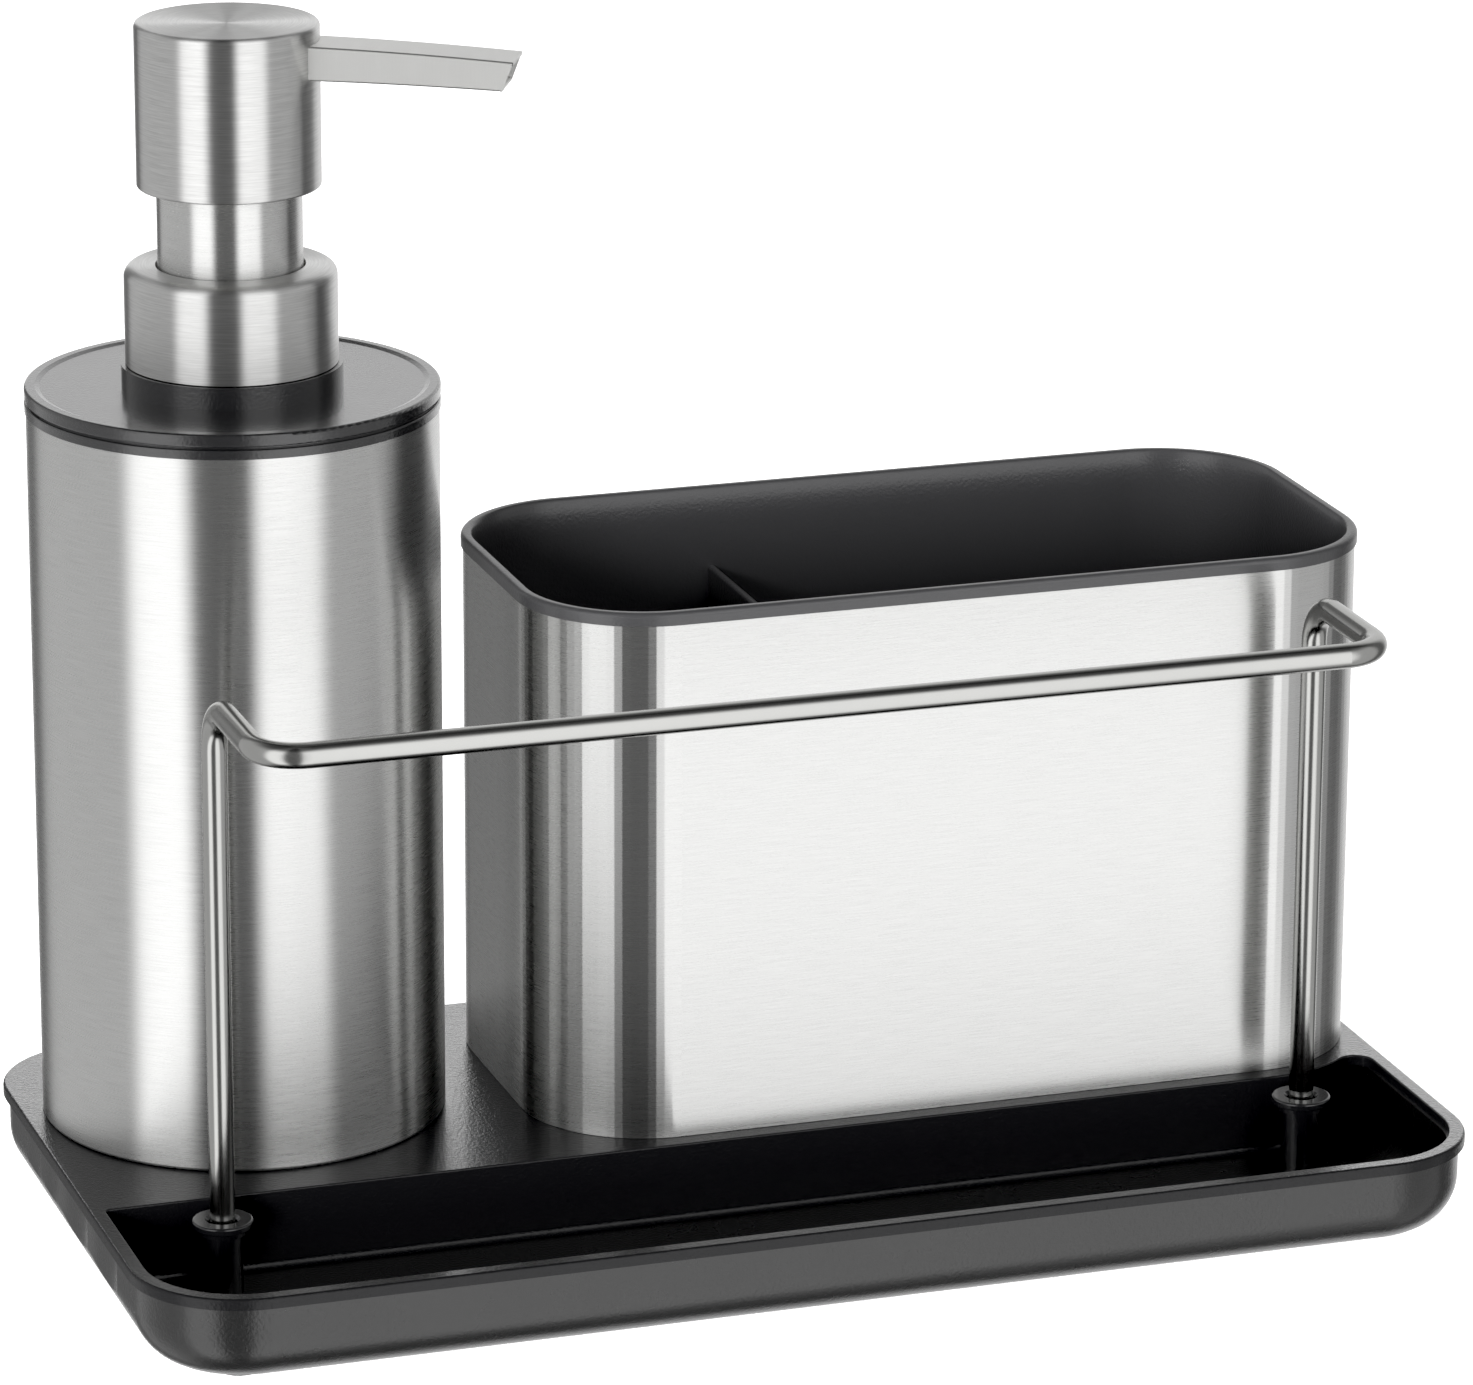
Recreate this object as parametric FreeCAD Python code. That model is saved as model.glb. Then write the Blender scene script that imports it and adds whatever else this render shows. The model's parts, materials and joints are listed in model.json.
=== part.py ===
"""Sink caddy: tray with drip trough, towel rail, divided brush holder and soap pump bottle.

Millimetres. Origin on the table under the middle of the tray, X to the right along the tray from the
bottle to the holder, Y to the back, Z up. Every node is one piece of the real object.
"""
import math
import os

import FreeCAD
import Part

V = FreeCAD.Vector

# Every cut runs past its piece by the overrun, and edges are found within the match
cut_overrun = 1.0
level_match = 0.02

# Brush holder: steel sleeve and plastic liner
holder_length = 141.5
holder_depth = 69.4
holder_corner_radius = 20.5
sleeve_height = 85.5
sleeve_wall = 0.6
liner_clearance = 0.4
liner_wall = 1.8
liner_set_in = 1.2
liner_shoulder = 4.0
liner_floor = 2.0
liner_floor_gap = 0.8
liner_inner_rounding = 3.0
bead_height = 2.1
bead_overhang = 0.35
bead_rounding = 0.85
mouth_rounding = 2.8
divider_thickness = 1.3
divider_rounding = 0.5
divider_from_left = 47.5
divider_drop = 13.4

# Bottle: steel shell, inner container and lid with its neck
shell_diameter = 65.0
shell_height = 116.5
shell_wall = 0.6
shell_foot_width = 6.0
shell_edge_rounding = 0.6
container_clearance = 0.35
container_wall = 1.5
container_floor = 2.0
band_height = 1.5
band_overhang = 0.22
seam_height = 0.4
seam_depth = 0.8
lid_height = 2.05
lid_edge_rounding = 0.5
lid_rim_width = 1.7
lid_dish_slope = 0.8
lid_dish_depth = 0.3
band_edge_rounding = 0.3
plug_depth = 4.0
plug_wall = 1.5
plug_clearance = 0.15
boss_margin = 0.7
boss_height = 3.3
neck_wall = 1.4
thread_clearance = 0.3

# Tray: top frame with its lip, and the tub under it
holder_end_margin = 1.25
holder_back_margin = 2.75
bottle_end_margin = 3.15
bottle_back_margin = 2.25
bottle_gap = 9.1
deck_margin = 3.15
trough_depth = 40.7
trough_wall = 1.8
trough_corner_radius = 3.0
trough_end_radius = 0.8
trough_edge_rounding = 0.3
wall_foot_rounding = 1.2
wall_end_clearance = 0.1
rim_width = 2.6
lip_height = 1.8
lip_corner_radius = 18.0
lip_edge_rounding = 0.5
lip_overhang = 1.0
tub_height = 13.5
tub_wall = 1.9
tub_floor = 2.5
tub_bottom_rounding = 8.2
deck_rib_thickness = 1.6
deck_rib_shares = (-0.55, 0.0, 0.55)
grip_scallop_radius = 80.0
grip_ridge_shares = (0.78, 0.51, 0.22, -0.25, -0.72)

# Feet under the tub
foot_diameter = 8.5
foot_stick_out = 0.5
foot_recess = 0.8
foot_clearance = 0.1
foot_rounding = 0.3
foot_end_inset = 16.0
foot_side_inset = 12.8

# Sockets in the trough and the rail that plugs into them
socket_flange_diameter = 9.7
socket_flange_height = 1.3
socket_flange_rounding = 0.4
socket_step_diameter = 7.8
socket_step_height = 0.9
socket_post_diameter = 6.2
socket_mouth_diameter = 5.5
socket_mouth_depth = 0.5
socket_top_drop = 0.7
socket_spigot_diameter = 4.4
socket_spigot_clearance = 0.05
socket_floor = 1.6
rail_diameter = 4.0
rail_clearance = 0.3
rail_end_inset = 19.5
rail_post_setback = 7.4
rail_reach = 29.6
rail_height = 83.2
rail_bend_radius = 7.0
rail_end_rounding = 0.5

# Pump closure on the neck
collar_height = 15.6
collar_gap = 0.1
collar_wall = 0.6
collar_rounding = 1.8
insert_wall = 1.4
insert_clearance = 0.05
clamp_thickness = 2.4
gasket_thickness = 0.8
flange_thickness = 1.2
housing_neck_clearance = 0.3
cup_wall = 0.9
cup_floor = 1.2
cup_running_gap = 0.39

# Pump cylinder below the cup, with ball seat and dip tube
bore_diameter = 10.8
bore_wall = 1.1
guide_spigot = 4.0
guide_plate = 2.2
guide_clearance = 0.1
piston_gap = 0.5
piston_height = 6.0
piston_clearance = 0.05
spring_length = 17.5
spring_wire = 0.8
spring_bore_clearance = 0.8
spring_turns = 6
spring_seat_gap = 0.05
ball_diameter = 5.0
ball_chamber_diameter = 6.4
ball_chamber_height = 4.2
ball_gap = 0.15
throat_diameter = 3.0
throat_length = 1.0
tube_diameter = 6.0
tube_wall = 0.9
tube_socket_length = 7.0
tube_socket_wall = 1.2
tube_floor_gap = 3.0

# Plunger and head
stem_diameter = 7.0
stem_bore = 3.0
stem_entry = 14.0
stem_socket_clearance = 0.05
stem_guide_clearance = 0.1
sleeve_diameter = 22.82
sleeve_tube_wall = 0.6
sleeve_entry = 1.9
sleeve_hold = 12.0
sleeve_running_gap = 0.35
head_step = 3.04
head_height = 26.0
head_gap = 12.6
head_wall = 0.6
head_cap = 0.8
head_rounding = 0.8
head_foot_rounding = 0.4
stop_gap = 1.6
press_margin = 0.4
core_clearance = 0.1
core_recess = 0.5
core_boss_diameter = 11.0
core_boss_length = 7.5

# Spout on the head, turned from the X axis by its angle
spout_angle = -26.4
spout_length = 45.7
spout_width = 9.16
spout_top_drop = 2.65
spout_root_height = 5.62
spout_tip_drop = 4.17
spout_tip_height = 4.64
spout_undercut = 1.74
spout_top_bow = 0.4
spout_bottom_bow = 0.28
spout_wall = 0.6
spout_edge_rounding = 0.45
spout_fit = 0.1
spout_recess = 0.8
outlet_wall = 0.22
outlet_tube_wall = 0.5
outlet_start = 8.0
spout_seat = 0.2
slot_clearance = 0.05

# Plan of the tray, which is as long and deep as what stands on it and the trough in front
lip_length = bottle_end_margin + shell_diameter + bottle_gap + holder_length + holder_end_margin
lip_depth = holder_back_margin + holder_depth + deck_margin + trough_depth + rim_width
bottle_x = -lip_length / 2 + bottle_end_margin + shell_diameter / 2
bottle_y = lip_depth / 2 - bottle_back_margin - shell_diameter / 2
holder_x = lip_length / 2 - holder_end_margin - holder_length / 2
holder_y = lip_depth / 2 - holder_back_margin - holder_depth / 2
deck_front = holder_y - holder_depth / 2 - deck_margin
rail_x = lip_length / 2 - rail_end_inset
rail_post_y = deck_front - rail_post_setback

# Radii of the pump, from the head's sleeve outwards
sleeve_r = sleeve_diameter / 2
sleeve_in_r = sleeve_r - sleeve_tube_wall
cup_in_r = sleeve_r + cup_running_gap
cup_r = cup_in_r + cup_wall
neck_in_r = cup_r + housing_neck_clearance
neck_r = neck_in_r + neck_wall
thread_r = neck_r + thread_clearance
insert_r = thread_r + insert_wall
collar_in_r = insert_r + insert_clearance
collar_r = collar_in_r + collar_wall
collar_hole_r = sleeve_r + sleeve_running_gap
boss_r = collar_r + boss_margin
head_r = sleeve_r + head_step
stem_r = stem_diameter / 2
bore_r = bore_diameter / 2

# Levels from the table up to the top of the head
tub_z = foot_stick_out
tub_top_z = tub_z + tub_height
floor_z = tub_z + tub_floor
deck_z = tub_top_z + lip_height
sleeve_top_z = deck_z + sleeve_height
shell_top_z = deck_z + shell_height
band_top_z = shell_top_z + band_height
lid_low_z = band_top_z + seam_height
lid_top_z = lid_low_z + lid_height
boss_top_z = lid_top_z + boss_height
collar_z = boss_top_z + collar_gap
collar_top_z = collar_z + collar_height
collar_under_z = collar_top_z - collar_wall
clamp_z = collar_under_z - clamp_thickness
flange_z = clamp_z - flange_thickness
neck_top_z = flange_z - gasket_thickness
head_z = collar_top_z + head_gap
head_top_z = head_z + head_height
stem_top_z = head_z + stem_entry
core_plate_z = head_z + sleeve_hold
core_top_z = head_top_z - head_cap

# Levels from the collar down to the end of the dip tube
stroke = head_gap - stop_gap
sleeve_z = collar_top_z - sleeve_entry
cup_z = sleeve_z - stroke - press_margin
cup_low_z = cup_z - cup_floor
piston_top_z = cup_z - guide_spigot - piston_gap
piston_z = piston_top_z - piston_height
ledge_z = piston_z - spring_length
chamber_z = ledge_z - ball_chamber_height
throat_z = chamber_z - (ball_chamber_diameter - throat_diameter) / 2
tube_top_z = throat_z - throat_length
socket_low_z = tube_top_z - tube_socket_length
container_z = deck_z + shell_wall
container_floor_z = container_z + container_floor
tube_low_z = container_floor_z + tube_floor_gap


def plate(length, depth, radius, low, height, x=0.0, y=0.0):
    """Upright block with a rounded rectangle outline, centred at x, y."""
    a = length / 2 - radius
    b = depth / 2 - radius
    k = radius / math.sqrt(2.0)
    arcs = []
    for cx, cy, sx, sy in ((a, b, 1, 1), (-a, b, -1, 1), (-a, -b, -1, -1), (a, -b, 1, -1)):
        side = V(cx + sx * radius, cy, 0)
        middle = V(cx + sx * k, cy + sy * k, 0)
        end = V(cx, cy + sy * radius, 0)
        arcs.append((side, middle, end) if sx * sy > 0 else (end, middle, side))
    edges = []
    for i, (start, middle, end) in enumerate(arcs):
        edges.append(Part.Arc(start, middle, end).toShape())
        edges.append(Part.makeLine(end, arcs[(i + 1) % len(arcs)][0]))
    face = Part.Face(Part.Wire(edges))
    face.translate(V(x, y, low))
    return face.extrude(V(0, 0, height))


def turned(profile, x=bottle_x, y=bottle_y):
    """Solid of revolution about the upright axis at x, y from radius and height pairs."""
    points = [V(r, 0, z) for r, z in profile]
    face = Part.Face(Part.makePolygon(points + [points[0]]))
    body = face.revolve(V(0, 0, 0), V(0, 0, 1), 360)
    body.translate(V(x, y, 0))
    return body


def post(diameter, low, high, x, y):
    """Upright cylinder between two levels."""
    return Part.makeCylinder(diameter / 2, high - low, V(x, y, low))


def level_edges(shape, z):
    """Edges that lie wholly at one level."""
    found = []
    for edge in shape.Edges:
        box = edge.BoundBox
        if abs(box.ZMin - z) < level_match and abs(box.ZMax - z) < level_match:
            found.append(edge)
    return found


def edges_along(shape, z, tool):
    """Edges at one level that the tool has cut."""
    return [edge for edge in level_edges(shape, z) if edge.distToShape(tool)[0] < level_match]


def upright_edges(shape, corner):
    """Upright edges over a corner of the plan."""
    found = []
    for edge in shape.Edges:
        box = edge.BoundBox
        upright = max(box.XLength, box.YLength) < level_match
        if upright and math.hypot(box.XMax - corner.x, box.YMax - corner.y) < 2 * level_match:
            found.append(edge)
    return found


def outer_rim(shape, z):
    """The widest round edge at one level."""
    return [max(level_edges(shape, z), key=lambda edge: edge.BoundBox.XLength)]


def save(shape, node):
    """Write one node and make sure that it is sound."""
    if not shape.isValid():
        raise ValueError("node is not sound: " + node)
    shape.exportStep("parts/" + node + ".step")


os.makedirs("parts", exist_ok=True)

# Tub: one rounded pan with grip scallops on both ends, foot recesses and holes for the sockets
tub_length = lip_length - 2 * lip_overhang
tub_depth = lip_depth - 2 * lip_overhang
tub_radius = lip_corner_radius - lip_overhang
tub = plate(tub_length, tub_depth, tub_radius, tub_z, tub_height)
tub = tub.makeFillet(tub_bottom_rounding, level_edges(tub, tub_z))
room_length = tub_length - 2 * tub_wall
room_depth = tub_depth - 2 * tub_wall
room = plate(room_length, room_depth, tub_radius - tub_wall, floor_z, tub_top_z - floor_z + cut_overrun)
room = room.makeFillet(tub_bottom_rounding - tub_wall, level_edges(room, floor_z))
tub = tub.cut(room)
ridge_reach = tub_depth / 2 - tub_radius
for first, second in zip(grip_ridge_shares[:-1], grip_ridge_shares[1:]):
    chord = (first - second) * ridge_reach
    middle_y = (first + second) * ridge_reach / 2
    back_off = math.sqrt(grip_scallop_radius ** 2 - (chord / 2) ** 2)
    for end in (-1, 1):
        centre_x = end * (tub_length / 2 + back_off)
        scallop = post(2 * grip_scallop_radius, tub_z - cut_overrun, tub_top_z + cut_overrun,
                       centre_x, middle_y)
        tub = tub.cut(scallop)
foot_x = lip_length / 2 - foot_end_inset
foot_y = lip_depth / 2 - foot_side_inset
feet = []
for side, place_x in (("left", -foot_x), ("right", foot_x)):
    for row, place_y in (("front", -foot_y), ("rear", foot_y)):
        recess_d = foot_diameter + 2 * foot_clearance
        tub = tub.cut(post(recess_d, tub_z - cut_overrun, tub_z + foot_recess, place_x, place_y))
        foot = post(foot_diameter, 0, tub_z + foot_recess, place_x, place_y)
        foot = foot.makeFillet(foot_rounding, level_edges(foot, 0))
        feet.append(("foot_" + row + "_" + side, foot))
for place_x in (-rail_x, rail_x):
    hole_d = socket_spigot_diameter + 2 * socket_spigot_clearance
    tub = tub.cut(post(hole_d, tub_z - cut_overrun, floor_z + cut_overrun, place_x, rail_post_y))
save(tub, "tray_tub")
for node, foot in feet:
    save(foot, node)

# Top frame: deck, rim and lip in one moulding, open over the trough
frame = plate(lip_length, lip_depth, lip_corner_radius, tub_top_z, lip_height)
frame = frame.makeFillet(lip_edge_rounding, level_edges(frame, deck_z))
turn_x = holder_x + holder_length / 2 - holder_corner_radius
turn_y = holder_y - holder_depth / 2 + holder_corner_radius
turn_radius = holder_corner_radius + deck_margin
open_x = lip_length / 2 - rim_width
open_front = -lip_depth / 2 + rim_width
open_radius = lip_corner_radius - rim_width
corner_k = open_radius * (1 - 1 / math.sqrt(2.0))


def turn_point(radius, angle):
    """Point on an arc round the holder's front right corner."""
    return V(turn_x + radius * math.cos(angle), turn_y + radius * math.sin(angle), 0)


def turn_arc(radius, end_angle):
    """Arc round that corner from its front to an angle."""
    middle = turn_point(radius, (end_angle - math.pi / 2) / 2)
    return Part.Arc(turn_point(radius, -math.pi / 2), middle, turn_point(radius, end_angle)).toShape()


open_angle = -math.acos((open_x - turn_x) / turn_radius)
turn_end = turn_point(turn_radius, open_angle)
opening = Part.Face(Part.Wire([
    Part.makeLine(V(-open_x, deck_front, 0), V(turn_x, deck_front, 0)),
    turn_arc(turn_radius, open_angle),
    Part.makeLine(turn_end, V(open_x, open_front + open_radius, 0)),
    Part.Arc(V(open_x, open_front + open_radius, 0), V(open_x - corner_k, open_front + corner_k, 0),
             V(open_x - open_radius, open_front, 0)).toShape(),
    Part.makeLine(V(open_x - open_radius, open_front, 0), V(-open_x + open_radius, open_front, 0)),
    Part.Arc(V(-open_x + open_radius, open_front, 0), V(-open_x + corner_k, open_front + corner_k, 0),
             V(-open_x, open_front + open_radius, 0)).toShape(),
    Part.makeLine(V(-open_x, open_front + open_radius, 0), V(-open_x, deck_front, 0)),
])).extrude(V(0, 0, lip_height + 2 * cut_overrun))
opening.translate(V(0, 0, tub_top_z - cut_overrun))
for corner, radius in ((turn_end, trough_corner_radius), (V(-open_x, deck_front, 0), trough_end_radius)):
    opening = opening.makeFillet(radius, upright_edges(opening, corner))
frame = frame.cut(opening)
frame = frame.makeFillet(trough_edge_rounding, edges_along(frame, deck_z, opening))

# Trough's back wall under the deck's edge with a cove at its foot, and ribs behind it, on the tub's floor
wall_x = open_x - wall_end_clearance
inner_radius = turn_radius - trough_wall
wall_angle = -math.acos((wall_x - turn_x) / turn_radius)
back_y = deck_front + trough_wall
wall_height = tub_top_z - floor_z
back_wall = Part.Face(Part.Wire(Part.__sortEdges__([
    Part.makeLine(V(-wall_x, deck_front, 0), V(turn_x, deck_front, 0)),
    turn_arc(turn_radius, wall_angle),
    Part.makeLine(turn_point(turn_radius, wall_angle), turn_point(inner_radius, wall_angle)),
    turn_arc(inner_radius, wall_angle),
    Part.makeLine(V(turn_x, back_y, 0), V(-wall_x, back_y, 0)),
    Part.makeLine(V(-wall_x, back_y, 0), V(-wall_x, deck_front, 0)),
]))).extrude(V(0, 0, wall_height))
back_wall.translate(V(0, 0, floor_z))
foot_k = wall_foot_rounding * (1 - 1 / math.sqrt(2.0))
foot_low = V(turn_x, deck_front - wall_foot_rounding, floor_z)
foot_high = V(turn_x, deck_front, floor_z + wall_foot_rounding)
foot_root = V(turn_x, deck_front, floor_z)
cove = Part.Face(Part.Wire([
    Part.Arc(foot_low, V(turn_x, deck_front - foot_k, floor_z + foot_k), foot_high).toShape(),
    Part.makeLine(foot_high, foot_root),
    Part.makeLine(foot_root, foot_low),
]))
turn_degrees = math.degrees(wall_angle + math.pi / 2)
under = back_wall.fuse(cove.extrude(V(-wall_x - turn_x, 0, 0)))
under = under.fuse(cove.revolve(V(turn_x, turn_y, floor_z), V(0, 0, 1), turn_degrees))
rib_depth = room_depth / 2 - wall_end_clearance - back_y
for share in deck_rib_shares:
    rib_x = share * room_length / 2 - deck_rib_thickness / 2
    under = under.fuse(Part.makeBox(deck_rib_thickness, rib_depth, wall_height, V(rib_x, back_y, floor_z)))
frame = frame.fuse(under.common(room)).removeSplitter()
save(frame, "tray_top")

# Sockets: posts with a stepped flange and a wide mouth, each on a spigot through the tub's floor
socket_top_z = deck_z - socket_top_drop
flange_low_z = socket_top_z - socket_flange_height
socket_bore_z = floor_z + socket_floor
spigot_r = socket_spigot_diameter / 2
post_r = socket_post_diameter / 2
flange_r = socket_flange_diameter / 2
step_r = socket_step_diameter / 2
step_low_z = flange_low_z - socket_step_height
mouth_r = socket_mouth_diameter / 2
mouth_z = socket_top_z - socket_mouth_depth
socket_bore_r = rail_diameter / 2 + rail_clearance
for side, place_x in (("left", -rail_x), ("right", rail_x)):
    socket = turned([
        (0, tub_z), (spigot_r, tub_z), (spigot_r, floor_z), (post_r, floor_z), (post_r, step_low_z),
        (step_r, step_low_z), (step_r, flange_low_z), (flange_r, flange_low_z), (flange_r, socket_top_z),
        (mouth_r, socket_top_z), (socket_bore_r, mouth_z), (socket_bore_r, socket_bore_z), (0, socket_bore_z),
    ], place_x, rail_post_y)
    rims = outer_rim(socket, socket_top_z) + outer_rim(socket, flange_low_z)
    save(socket.makeFillet(socket_flange_rounding, rims), "rail_socket_" + side)

# Rail: one bent rod, swept along its middle line
rail_z = deck_z + rail_height
bar_y = rail_post_y - rail_reach
stops = [
    V(-rail_x, rail_post_y, socket_bore_z), V(-rail_x, rail_post_y, rail_z), V(-rail_x, bar_y, rail_z),
    V(rail_x, bar_y, rail_z), V(rail_x, rail_post_y, rail_z), V(rail_x, rail_post_y, socket_bore_z),
]
path = []
here = stops[0]
for before, corner, after in zip(stops[:-2], stops[1:-1], stops[2:]):
    way_in = (corner - before).normalize()
    way_out = (after - corner).normalize()
    start = corner - way_in * rail_bend_radius
    end = corner + way_out * rail_bend_radius
    centre = start + way_out * rail_bend_radius
    middle = centre + (way_in - way_out).normalize() * rail_bend_radius
    path.append(Part.makeLine(here, start))
    path.append(Part.Arc(start, middle, end).toShape())
    here = end
path.append(Part.makeLine(here, stops[-1]))
ring = Part.Wire(Part.makeCircle(rail_diameter / 2, stops[0], V(0, 0, 1)))
rail = Part.Wire(path).makePipeShell([ring], True, False)
rail = rail.makeFillet(rail_end_rounding, level_edges(rail, socket_bore_z))
save(rail, "towel_rail")

# Holder sleeve: thin steel band that stands on the deck
sleeve = plate(holder_length, holder_depth, holder_corner_radius, deck_z, sleeve_height, holder_x, holder_y)
sleeve_room = plate(holder_length - 2 * sleeve_wall, holder_depth - 2 * sleeve_wall,
                    holder_corner_radius - sleeve_wall, deck_z - cut_overrun,
                    sleeve_height + 2 * cut_overrun, holder_x, holder_y)
save(sleeve.cut(sleeve_room), "holder_sleeve")

# Liner: hangs in the sleeve by its bead and shoulder, flared at the mouth, with the divider moulded in
liner_inset = sleeve_wall + liner_clearance
liner_length = holder_length - 2 * liner_inset
liner_depth = holder_depth - 2 * liner_inset
liner_radius = holder_corner_radius - liner_inset
liner_z = deck_z + liner_floor_gap
bead_top_z = sleeve_top_z + bead_height
body_length = liner_length - 2 * liner_set_in
body_depth = liner_depth - 2 * liner_set_in
body_radius = liner_radius - liner_set_in
liner = plate(body_length, body_depth, body_radius, liner_z, sleeve_top_z - liner_z, holder_x, holder_y)
shoulder = plate(liner_length, liner_depth, liner_radius, sleeve_top_z - liner_shoulder, liner_shoulder,
                 holder_x, holder_y)
bead = plate(holder_length + 2 * bead_overhang, holder_depth + 2 * bead_overhang,
             holder_corner_radius + bead_overhang, sleeve_top_z, bead_height, holder_x, holder_y)
bead = bead.makeFillet(bead_rounding, level_edges(bead, bead_top_z))
hollow_z = liner_z + liner_floor
hollow = plate(body_length - 2 * liner_wall, body_depth - 2 * liner_wall, body_radius - liner_wall,
               hollow_z, bead_top_z - hollow_z + cut_overrun, holder_x, holder_y)
hollow = hollow.makeFillet(liner_inner_rounding, level_edges(hollow, hollow_z))
liner = liner.fuse(shoulder).fuse(bead).cut(hollow).removeSplitter()
liner = liner.makeFillet(mouth_rounding, edges_along(liner, bead_top_z, hollow))
divider_x = holder_x - holder_length / 2 + divider_from_left - divider_thickness / 2
divider_top_z = bead_top_z - divider_drop
divider = Part.makeBox(divider_thickness, liner_depth, divider_top_z - liner_z,
                       V(divider_x, holder_y - liner_depth / 2, liner_z))
divider_ridges = [e for e in level_edges(divider, divider_top_z) if e.BoundBox.YLength > liner_depth / 2]
divider = divider.makeFillet(divider_rounding, divider_ridges)
liner = liner.fuse(divider.common(hollow)).removeSplitter()
save(liner, "holder_liner")

# Bottle shell: drawn steel tube with its foot turned in
shell_r = shell_diameter / 2
shell_in_r = shell_r - shell_wall
foot_in_r = shell_r - shell_foot_width
shell = turned([
    (foot_in_r, deck_z), (shell_r, deck_z), (shell_r, shell_top_z), (shell_in_r, shell_top_z),
    (shell_in_r, container_z), (foot_in_r, container_z),
])
save(shell.makeFillet(shell_edge_rounding, outer_rim(shell, deck_z)), "bottle_shell")

# Inner container: hangs on the shell by the band that shows under the lid
container_r = shell_in_r - container_clearance
container_in_r = container_r - container_wall
band_r = shell_r + band_overhang
container = turned([
    (0, container_z), (container_r, container_z), (container_r, shell_top_z), (band_r, shell_top_z),
    (band_r, band_top_z), (container_in_r, band_top_z), (container_in_r, container_floor_z),
    (0, container_floor_z),
])
save(container.makeFillet(band_edge_rounding, outer_rim(container, band_top_z)), "bottle_container")

# Lid: shallow dish with a plug below, a boss on top and the neck for the pump
plug_r = container_in_r - plug_clearance
plug_in_r = plug_r - plug_wall
plug_z = band_top_z - plug_depth
seat_r = band_r - seam_depth
rim_in_r = band_r - lid_rim_width
dish_r = rim_in_r - lid_dish_slope
dish_z = lid_top_z - lid_dish_depth
lid = turned([
    (neck_in_r, band_top_z), (plug_in_r, band_top_z), (plug_in_r, plug_z), (plug_r, plug_z),
    (plug_r, band_top_z), (seat_r, band_top_z), (seat_r, lid_low_z), (band_r, lid_low_z),
    (band_r, lid_top_z), (rim_in_r, lid_top_z), (dish_r, dish_z), (boss_r, dish_z), (boss_r, boss_top_z),
    (neck_r, boss_top_z), (neck_r, neck_top_z), (neck_in_r, neck_top_z),
])
lid = lid.makeFillet(lid_edge_rounding, outer_rim(lid, lid_top_z))
save(lid.makeFillet(band_edge_rounding, outer_rim(lid, lid_low_z)), "bottle_lid")

# Gasket between the neck and the pump's flange
gasket = turned([(cup_r, neck_top_z), (neck_r, neck_top_z), (neck_r, flange_z), (cup_r, flange_z)])
save(gasket, "neck_gasket")

# Pump housing: flange, cup for the head's sleeve, cylinder, ball seat and dip tube socket
cylinder_r = bore_r + bore_wall
chamber_r = ball_chamber_diameter / 2
throat_r = throat_diameter / 2
tube_r = tube_diameter / 2
tube_socket_r = tube_r + tube_socket_wall
housing = turned([
    (cup_in_r, clamp_z), (neck_r, clamp_z), (neck_r, flange_z), (cup_r, flange_z), (cup_r, cup_low_z),
    (cylinder_r, cup_low_z), (cylinder_r, chamber_z), (tube_socket_r, tube_top_z),
    (tube_socket_r, socket_low_z), (tube_r, socket_low_z), (tube_r, tube_top_z), (throat_r, tube_top_z),
    (throat_r, throat_z), (chamber_r, chamber_z), (chamber_r, ledge_z), (bore_r, ledge_z), (bore_r, cup_z),
    (cup_in_r, cup_z),
])
save(housing, "pump_housing")

# Guide: closes the cylinder and steers the stem
guide_hole_r = stem_r + stem_guide_clearance
guide_spigot_r = bore_r - guide_clearance
guide_r = (guide_spigot_r + sleeve_in_r) / 2
guide_low_z = cup_z - guide_spigot
guide_top_z = cup_z + guide_plate
guide = turned([
    (guide_hole_r, guide_low_z), (guide_spigot_r, guide_low_z), (guide_spigot_r, cup_z), (guide_r, cup_z),
    (guide_r, guide_top_z), (guide_hole_r, guide_top_z),
])
save(guide, "pump_guide")

# Check ball in its cone of 45 degrees
ball_r = ball_diameter / 2
ball_z = throat_z - throat_r + (ball_r + ball_gap) * math.sqrt(2.0)
save(Part.makeSphere(ball_r, V(bottle_x, bottle_y, ball_z)), "check_ball")

# Return spring between the cylinder's ledge and the piston: two tangent arcs for each quarter turn
coil_low_z = ledge_z + spring_wire / 2 + spring_seat_gap
coil_height = spring_length - spring_wire - 2 * spring_seat_gap
coil_r = bore_r - spring_bore_clearance - spring_wire / 2
coil_rise = coil_height / (spring_turns * 2 * math.pi)


def coil_point(angle):
    """Point on the coil's middle line."""
    x = bottle_x + coil_r * math.cos(angle)
    y = bottle_y + coil_r * math.sin(angle)
    return V(x, y, coil_low_z + coil_rise * angle)


def coil_heading(angle):
    """Direction of the coil's middle line."""
    return V(-coil_r * math.sin(angle), coil_r * math.cos(angle), coil_rise).normalize()


def tangent_arc(start, heading, end):
    """Arc that leaves start along heading and goes through end."""
    chord = end - start
    along = V(chord).normalize()
    side = (heading - along * heading.dot(along)).normalize()
    sag = chord.Length / 2 * math.tan(heading.getAngle(chord) / 2)
    return Part.Arc(start, start + chord / 2 + side * sag, end).toShape()


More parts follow.
